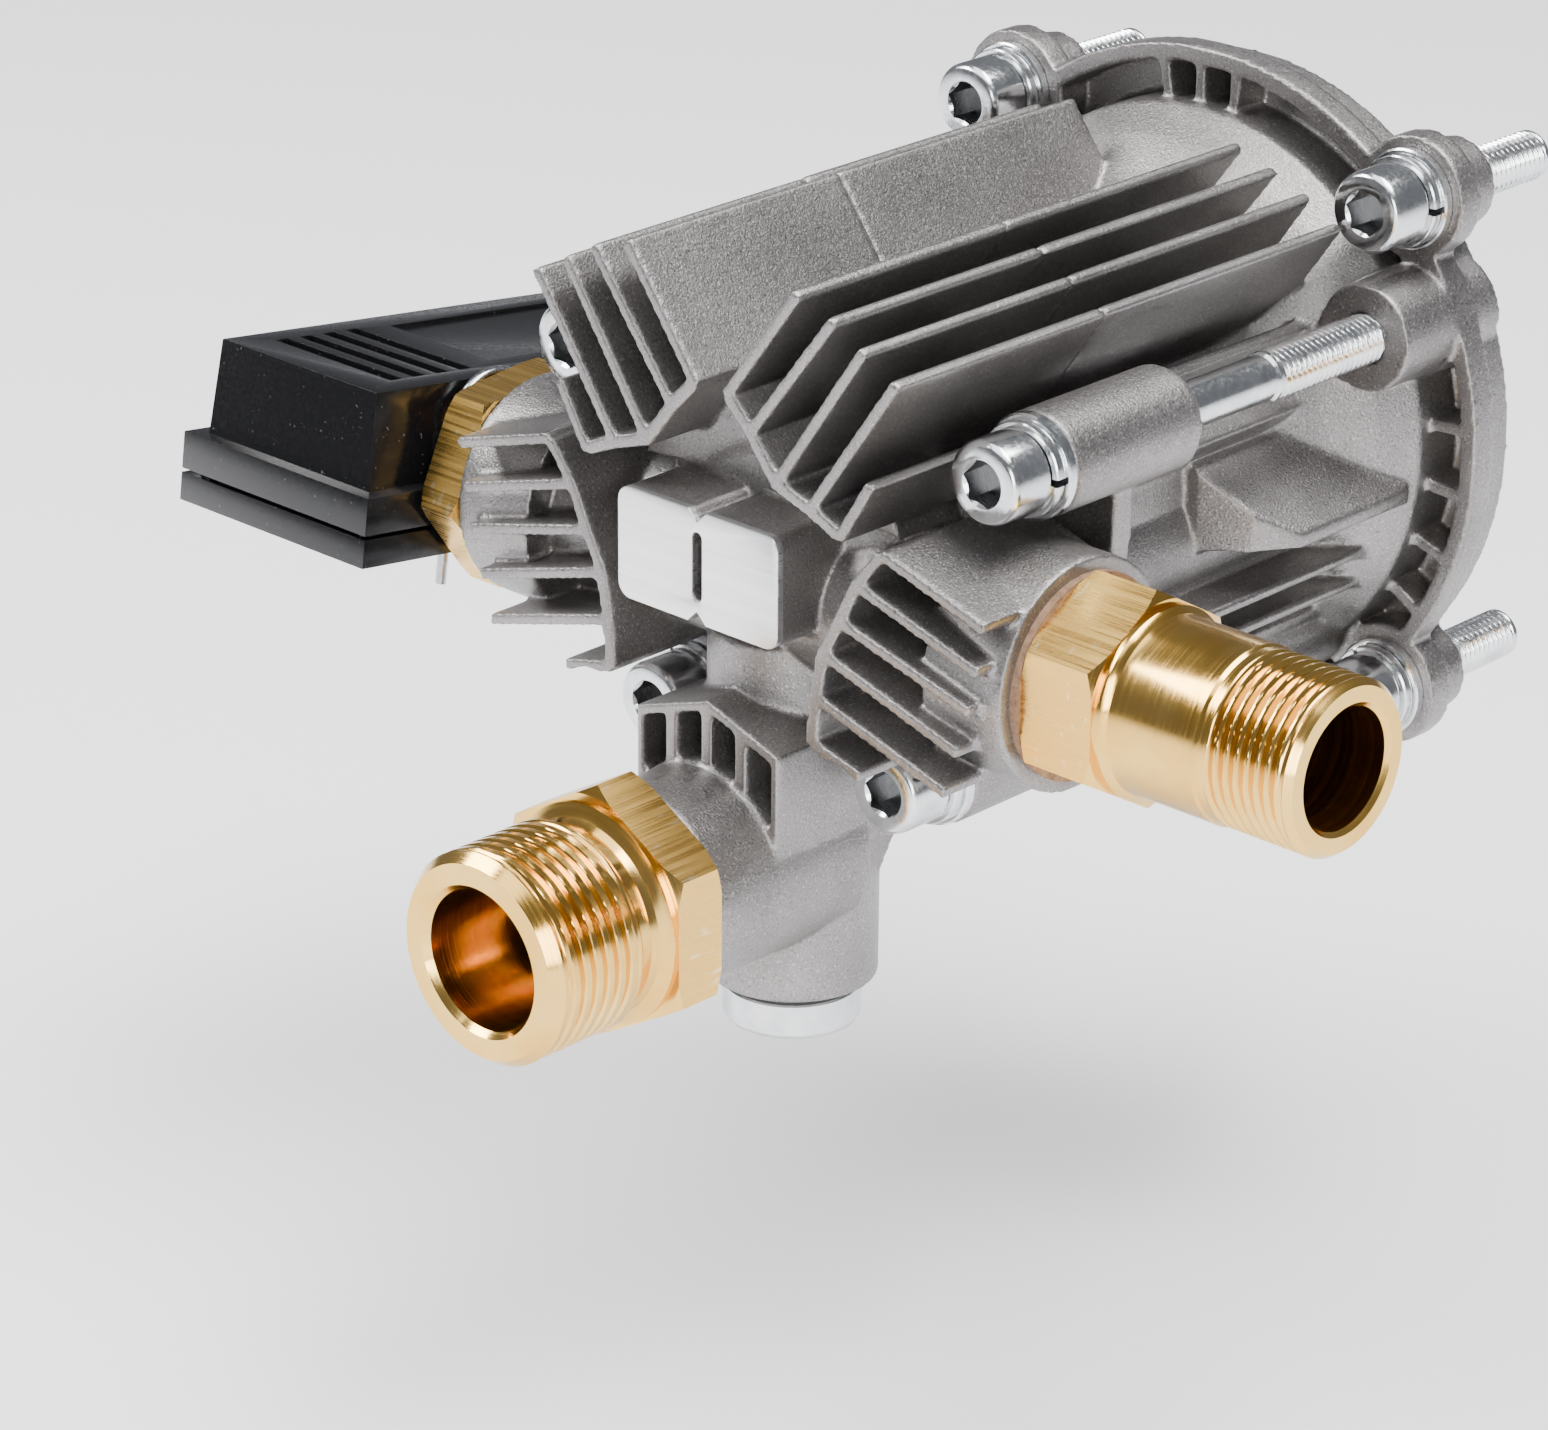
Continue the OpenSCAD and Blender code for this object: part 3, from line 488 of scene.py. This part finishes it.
def turned(outline, segments=96, thread=None):
    """A solid of revolution about Z from a closed outline of (station, radius)"""
    work = bmesh.new()
    rings = []
    for station, radius, threaded in stations_of(outline, thread):
        if radius == 0:
            rings.append([work.verts.new((0, 0, station * MM))])
            continue
        ring = []
        for k in range(segments):
            angle = math.tau * k / segments
            r = (radius - (thread.groove(station, angle) if threaded else 0)) * MM
            ring.append(work.verts.new((r * math.cos(angle), r * math.sin(angle), station * MM)))
        rings.append(ring)
    for first, second in zip(rings, rings[1:] + rings[:1]):
        if len(first) == len(second) == 1:
            continue
        for k in range(segments):
            corners = [first[k % len(first)], first[(k + 1) % len(first)],
                       second[(k + 1) % len(second)], second[k % len(second)]]
            work.faces.new(list(dict.fromkeys(corners)))
    return solid_from("turned", work)


def hexagon(radius, start, end, turn=0):
    """A straight hexagonal prism about Z, measured over its corners"""
    angles = [math.radians(60 * k + turn) for k in range(6)]
    return lofted("hexagon", [[(radius * math.cos(a), radius * math.sin(a), station) for a in angles]
                              for station in (start, end)])


def combined(first, second, operation):
    """A boolean of two closed meshes"""
    tool = linked("tool", second)
    piece = linked("combined", first)
    boolean = piece.modifiers.new("boolean", "BOOLEAN")
    boolean.operation = operation
    boolean.object = tool
    boolean.solver = "EXACT"
    mesh = baked(piece)
    bpy.data.objects.remove(tool)
    return mesh


def copies(mesh, places):
    """One mesh of several copies, each put in its place"""
    work = bmesh.new()
    for place in places:
        single = mesh.copy()
        single.transform(place)
        work.from_mesh(single)
        bpy.data.meshes.remove(single)
    return mesh_from("copies", work)


CLEAR_OF_CORNERS = 0.3
CHAMFER = 30
PORT_SEGMENTS = 128


def chamfered_hexagon(start, end, radius, face_radius, turn):
    """A hexagon whose corners are cut by cones at both ends"""
    outside = radius + CLEAR_OF_CORNERS
    rise = (outside - face_radius) * math.tan(math.radians(CHAMFER))
    cones = turned([(start, 0), (start, face_radius), (start + rise, outside),
                    (end - rise, outside), (end, face_radius), (end, 0)], PORT_SEGMENTS)
    return combined(hexagon(radius, start, end, turn), cones, "INTERSECT")


# Only a hexagon's flats are larger than this, in square metres
FLAT_AREA = 6e-5


def mark_flats(mesh, axis):
    """Gives the second material to the large faces that stand along an axis"""
    for face in mesh.polygons:
        if face.area > FLAT_AREA and abs(face.normal[axis]) < 0.05:
            face.material_index = 1


# ---- Brass ports ----
ARM_Y, ARM_Z = -104.3, -7.0
PORT_EDGE = 18
INLET_X, INLET_Z = -1.1, -48.8


def hexagon_port(flats, body, bore, thread, place):
    """A screwed-in fitting: a hexagon joined to a turned body, with a bore through both"""
    solid = combined(chamfered_hexagon(*flats), turned(body, PORT_SEGMENTS, thread), "UNION")
    mesh = combined(solid, turned(bore, PORT_SEGMENTS), "DIFFERENCE")
    mesh.transform(place)
    return mesh


def outlet_fitting():
    """The high-pressure port with a G 3/4 thread, along X"""
    body = [(41, 0), (41, 10.5), (56.5, 10.5), (56.5, 13), (69.1, 13), (69.1, 14.6), (70.2, 14.6),
            (70.8, 14.2), (71.3, 13.7), (72.5, 13.5), (86.3, 13.5), (86.9, 13.2), (88, 13.2),
            (102.4, 13.2), (103.5, 12.3), (103.5, 0)]
    bore = [(40, 0), (40, 7.5), (54, 7.5), (54, 3.6), (57, 3.6), (57, 9.2), (102.8, 9.2), (103.6, 10),
            (104.5, 10), (104.5, 0)]
    thread = Thread(88, 102.4, 1.814, 1.0, 0.2, 18)
    mesh = hexagon_port((56.2, 69.2, 17, 15.4, 0), body, bore, thread, to_x((0, ARM_Y, ARM_Z)))
    mark_flats(mesh, 0)
    stand_in("outlet_port", smooth(mesh, PORT_EDGE), ["outlet_fitting"], [BRASS_X, FLATS_X])


def inlet_fitting():
    """The water inlet with a G 1 thread, facing the front"""
    body = [(128.5, 0), (128.5, 12), (139.4, 12), (139.4, 15), (148.1, 15), (148.1, 17.4),
            (148.7, 17.4), (149, 16.6), (149.8, 15.4), (151, 14.9), (153.2, 14.9), (153.8, 16.0),
            (154.6, 16.6), (155, 16.6), (170.2, 16.6), (172, 15.2), (172, 0)]
    bore = [(127, 0), (127, 8.5), (143.2, 8.5), (143.2, 10.5), (145.4, 10.5), (145.4, 11),
            (171, 11), (172.1, 12), (173, 12), (173, 0)]
    thread = Thread(155, 170.2, 2.309, 1.05, 0.45, 20)
    place = to_y((INLET_X, 0, INLET_Z), -1)
    mesh = hexagon_port((139.2, 148.2, 20.5, 18.8, 30), body, bore, thread, place)
    mark_flats(mesh, 1)
    stand_in("inlet_port", smooth(mesh, PORT_EDGE), ["inlet_fitting"], [BRASS_Y, FLATS_Y])


def stop_valve_nut():
    """The stop valve's body, whose spigot carries the switch box"""
    body = [(-75, 0), (-75, 8.4), (-74.4, 9), (-70.1, 9), (-70.1, 7.5), (-67.9, 7.5), (-67.9, 9),
            (-65.8, 9), (-65.8, 12), (-58.2, 12), (-58.2, 10.5), (-39, 10.5), (-39, 0)]
    bore = [(-76, 0), (-76, 3.05), (-61, 3.05), (-61, 6), (-38, 6), (-38, 0)]
    mesh = hexagon_port((-66, -58, 18.2, 16.9, -25), body, bore, None, to_x((0, ARM_Y, ARM_Z)))
    mark_flats(mesh, 0)
    stand_in("stop_valve_nut", smooth(mesh, PORT_EDGE), ["stop_valve_body"], [BRASS_X, FLATS_X])


outlet_fitting()
inlet_fitting()
stop_valve_nut()


# ---- Fasteners ----
FLANGE_BOLTS = [(sx * 40.8, -12, sz * 40.8) for sx in (-1, 1) for sz in (-1, 1)]
HEAD_BOLTS = [(sx * x, -101.2, z) for sx in (-1, 1) for x, z in ((42.5, 21.3), (24.5, -32.8))]
WASHERS_T = 3.7
SOCKET_R, SOCKET_FLOOR, SOCKET_TURN = 3.7, -3.6, 11
LEAD_IN_FLOOR = -7.5
OVER_HEAD = -9


def socket_screw(length, thread_start, thread_end):
    """An M8 screw along Z, threaded where it shows, with the underside of its head at the origin"""
    body = [(-8, 0), (-8, 5.6), (-7.8, 5.95), (-7.3, 6.35), (-6.8, 6.5), (-0.5, 6.5), (0, 6.1),
            (0, 4.5), (0.5, 4), (2, 3.62), (thread_start - 1, 3.62), (thread_start - 0.5, 4),
            (thread_start, 4), (thread_end, 4), (length - 0.8, 4), (length, 3.2), (length, 0)]
    solid = turned(body, 64, Thread(thread_start, thread_end, 1.25, 0.68, 0.12, 16))
    socket = hexagon(SOCKET_R, OVER_HEAD, SOCKET_FLOOR, SOCKET_TURN)
    lead_in = turned([(OVER_HEAD, 0), (OVER_HEAD, 4.7), (LEAD_IN_FLOOR, 3.2), (LEAD_IN_FLOOR, 0)], 48)
    mesh = combined(combined(solid, socket, "DIFFERENCE"), lead_in, "DIFFERENCE")
    # The faces inside the socket take the second, darker material: painted shade in the recess
    for face in mesh.polygons:
        x, y, z = (c / MM for c in face.center)
        if math.hypot(x, y) < SOCKET_R and LEAD_IN_FLOOR < z < -3:
            face.material_index = 1
    return mesh


def screws(name, node, points, *stations):
    """One screw at every point, pressed on its washers"""
    places = [to_y((x, y - WASHERS_T, z)) for x, y, z in points]
    stand_in(name, smooth(copies(socket_screw(*stations), places)), [node], [ZINC, SOCKET_SHADE])


def flat_washer():
    """A stamped washer with a rounded rim, its lower face at the origin"""
    return turned([(-1.6, 4.2), (-1.6, 7.7), (-1.4, 8), (-0.1, 8), (0, 7.8), (0, 4.2)], 64)


SPLIT_SEGMENTS = 60
SPLIT_GAP = math.radians(9)
SPLIT_RISE = 0.2


def split_washer():
    """A ring of square wire whose ends stand a little apart"""
    wire = [(-0.95, 4.2), (-0.95, 7.1), (-0.75, 7.3), (0.75, 7.3), (0.95, 7.1), (0.95, 4.2)]
    sections = []
    for k in range(SPLIT_SEGMENTS + 1):
        share = k / SPLIT_SEGMENTS
        angle = SPLIT_GAP / 2 + share * (math.tau - SPLIT_GAP)
        lead = (share - 0.5) * SPLIT_RISE
        sections.append([(r * math.cos(angle), r * math.sin(angle), s + lead) for s, r in wire])
    return lofted("split_washer", sections)


def washers(name, node, mesh, offset):
    """One washer under every screw, each turned its own way"""
    places = [to_y((x, y + offset, z)) @ Matrix.Rotation(2.1 * i, 4, "Z")
              for i, (x, y, z) in enumerate(FLANGE_BOLTS + HEAD_BOLTS)]
    stand_in(name, smooth(copies(mesh, places)), [node], [ZINC])


screws("flange_screws", "flange_bolts", FLANGE_BOLTS, 35, 16, 34)
screws("long_screws", "head_bolts", HEAD_BOLTS, 100, 56, 82)
washers("plain_washers", "flat_washers", flat_washer(), 0)
washers("lock_washers", "spring_washers", split_washer(), -2.65)


def bottom_plug():
    """A zinc-plated plug with a rounded rim and a socket underneath"""
    body = [(-8, 0), (-8, 9.6), (-7.6, 10.4), (-6.8, 10.9), (-1.9, 10.9), (-1.5, 10.6),
            (-1.5, 9), (11.5, 9), (11.5, 0)]
    mesh = combined(turned(body), hexagon(5.8, OVER_HEAD, -3), "DIFFERENCE")
    mesh.transform(to_z((INLET_X, -105, -72.7)))
    stand_in("drain_plug", smooth(mesh), ["bottom_plug"], [ZINC])


bottom_plug()


# ---- Castings ----
VOXEL = 0.0005
SOFTENING_ROUNDS = 5
TRIANGLES_KEPT = 0.3


def casting(node, name, skin):
    """A CAD casting with its edges and corners rounded as a mould leaves them"""
    piece = linked("casting", NODES[node].data.copy())
    remesh = piece.modifiers.new("skin", "REMESH")
    remesh.mode = "VOXEL"
    remesh.voxel_size = VOXEL
    soften = piece.modifiers.new("soften", "SMOOTH")
    soften.factor = 0.5
    soften.iterations = SOFTENING_ROUNDS
    thin = piece.modifiers.new("thin", "DECIMATE")
    thin.ratio = TRIANGLES_KEPT
    mesh = baked(piece)
    mesh.polygons.foreach_set("use_smooth", [True] * len(mesh.polygons))
    stand_in(name, mesh, [node], [skin])


casting("rear_housing", "housing_casting", CAST_HOUSING)
casting("pump_head", "head_casting", CAST_HEAD)


# ---- Milled pad ----
PAD_X = -1.5
PAD_W, PAD_H, PAD_CORNER = 33, 18, 2.5
PAD_FRONT, PAD_BACK = -126.05, -124.6
NOTCH = 1.84
CORNER_STEPS = 8


def pad_outline():
    """Points round the pad: round corners, and a small V notch at top and bottom"""
    points = []
    for sx, sz, begin in ((1, 1, 0), (-1, 1, 90), (-1, -1, 180), (1, -1, 270)):
        for k in range(CORNER_STEPS + 1):
            a = math.radians(begin + 90 * k / CORNER_STEPS)
            points.append((sx * (PAD_W / 2 - PAD_CORNER) + PAD_CORNER * math.cos(a),
                           sz * (PAD_H / 2 - PAD_CORNER) + PAD_CORNER * math.sin(a)))
        if begin in (0, 180):
            edge = sz * PAD_H / 2
            points += [(sx * NOTCH, edge), (0, edge - sz * NOTCH), (-sx * NOTCH, edge)]
    return points


SLOT_HALF, SLOT_R = 4.5, 1.0
SLOT_FRONT, SLOT_BACK = -128, -120


def slot_outline():
    """Points round the pad's upright slot"""
    ends = []
    for sz, begin in ((1, 0), (-1, 180)):
        for k in range(CORNER_STEPS + 1):
            a = math.radians(begin + 180 * k / CORNER_STEPS)
            ends.append((SLOT_R * math.cos(a), sz * SLOT_HALF + SLOT_R * math.sin(a)))
    return ends


def slab(points, front, back):
    """An outline in X and Z, extruded along Y"""
    return lofted("slab", [[(x, y, z) for x, z in points] for y in (front, back)])


def milled_pad():
    """The flat face that is cut across the middle of the head, with its slot"""
    slot = slab(slot_outline(), SLOT_FRONT, SLOT_BACK)
    pad = combined(slab(pad_outline(), PAD_FRONT, PAD_BACK), slot, "DIFFERENCE")
    pad.transform(to_z((PAD_X, 0, 0)))
    pad = smooth(bevelled(pad, 0.3 * MM, 2, 50))
    pad.materials.append(MILLED)
    plate = linked("milled_pad", pad)
    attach(plate, NODE_BODY["pump_head"])


milled_pad()


# ---- Switch box ----
EDGE_ROUND = 0.6 * MM


def moulded_copy(node, name):
    """A CAD moulding with its flat faces whole again and its edges rounded"""
    mesh = NODES[node].data.copy()
    work = bmesh.new()
    work.from_mesh(mesh)
    bmesh.ops.remove_doubles(work, verts=work.verts, dist=1e-6)
    bmesh.ops.dissolve_limit(work, angle_limit=math.radians(0.5), verts=work.verts, edges=work.edges)
    work.to_mesh(mesh)
    work.free()
    stand_in(name, smooth(bevelled(mesh, EDGE_ROUND, 3, 35), 40), [node], [BLACK])


moulded_copy("switch_box_base", "box_base")
moulded_copy("switch_box_cover", "box_cover")


# ---- Springs ----
SPRINGS = {
    "plunger_springs": [f"plunger_{k}_stroke" for k in (1, 2, 3)],
    "inlet_valve_springs": [f"inlet_valve_{k}_lift" for k in (1, 2, 3)],
    "outlet_valve_springs": [f"outlet_valve_{k}_lift" for k in (1, 2, 3)],
    "check_valve_spring": ["check_valve_lift"],
    "stop_spring": ["stop_piston_travel"],
}


def moving_middle(joint):
    """The middle of the piece that a joint moves"""
    low, high = (Vector(corner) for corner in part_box(BODIES[JOINTS[joint]["child"]][0]))
    return (low + high) / 2


def one_spring(node, joint, joints):
    """The spring of a node that stands behind the piece that one of the joints moves"""
    axis = Vector(JOINTS[joint]["axis"])
    middles = {name: moving_middle(name) for name in joints}
    work = bmesh.new()
    work.from_mesh(NODES[node].data)
    others = [v for v in work.verts
              if min(joints, key=lambda name: axis.cross(v.co - middles[name]).length) != joint]
    bmesh.ops.delete(work, geom=others, context="VERTS")
    return mesh_from(joint + "_spring", work)


def spring_pieces():
    """Each spring as a piece of its own, riding on the body of its spring node"""
    for node, joints in SPRINGS.items():
        for joint in joints:
            mesh = smooth(one_spring(node, joint, joints))
            piece = stand_in(joint + "_spring", mesh, [node], [SLOT_MATERIALS[NODE_SLOT[node]]])
            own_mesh(piece)


spring_pieces()


# ---- Floor, light ----
FLOOR_HALF = 6
FLOOR_LEVEL = CAD_BOX[0].z - 0.05


def floor():
    """A pale floor a little below the pump, which hangs as the photograph shows it"""
    mesh = bpy.data.meshes.new("floor")
    corners = [(sx * FLOOR_HALF, sy * FLOOR_HALF, FLOOR_LEVEL)
               for sx, sy in ((-1, -1), (1, -1), (1, 1), (-1, 1))]
    mesh.from_pydata(corners, [], [(0, 1, 2, 3)])
    ground = linked("floor", mesh)
    s = Shader("floor_paint", Roughness=0.5, Emission_Strength=0.42)
    s.principled.inputs["Base Color"].default_value = (0.90, 0.90, 0.92, 1)
    s.principled.inputs["Emission Color"].default_value = (0.95, 0.96, 1.0, 1)
    mesh.materials.append(s.material)


def soft_light(name, place, aim, width, height, power):
    """An area light that faces a point"""
    data = bpy.data.lights.new(name, "AREA")
    data.shape = "RECTANGLE"
    data.size, data.size_y = width, height
    data.energy = power
    lamp = linked(name, data)
    lamp.location = place
    lamp.rotation_euler = (Vector(aim) - Vector(place)).to_track_quat("-Z", "Y").to_euler()


def studio():
    """A dim pale surround and four soft lights"""
    world = bpy.data.worlds.new("studio")
    world.use_nodes = True
    background = world.node_tree.nodes["Background"]
    background.inputs["Color"].default_value = (0.90, 0.93, 1.0, 1)
    background.inputs["Strength"].default_value = 0.22
    bpy.context.scene.world = world
    middle = (0, -0.08, -0.01)
    soft_light("key", (-0.75, -0.55, 0.80), middle, 0.6, 0.5, 17)
    soft_light("top", (0.30, 0.10, 1.0), middle, 0.8, 0.5, 17)
    soft_light("front", (0.95, -1.0, 0.30), middle, 0.35, 0.7, 9)
    soft_light("wide", (0.3, -0.6, 3.0), (0.2, -0.2, -0.1), 3.0, 3.0, 90)


floor()
studio()
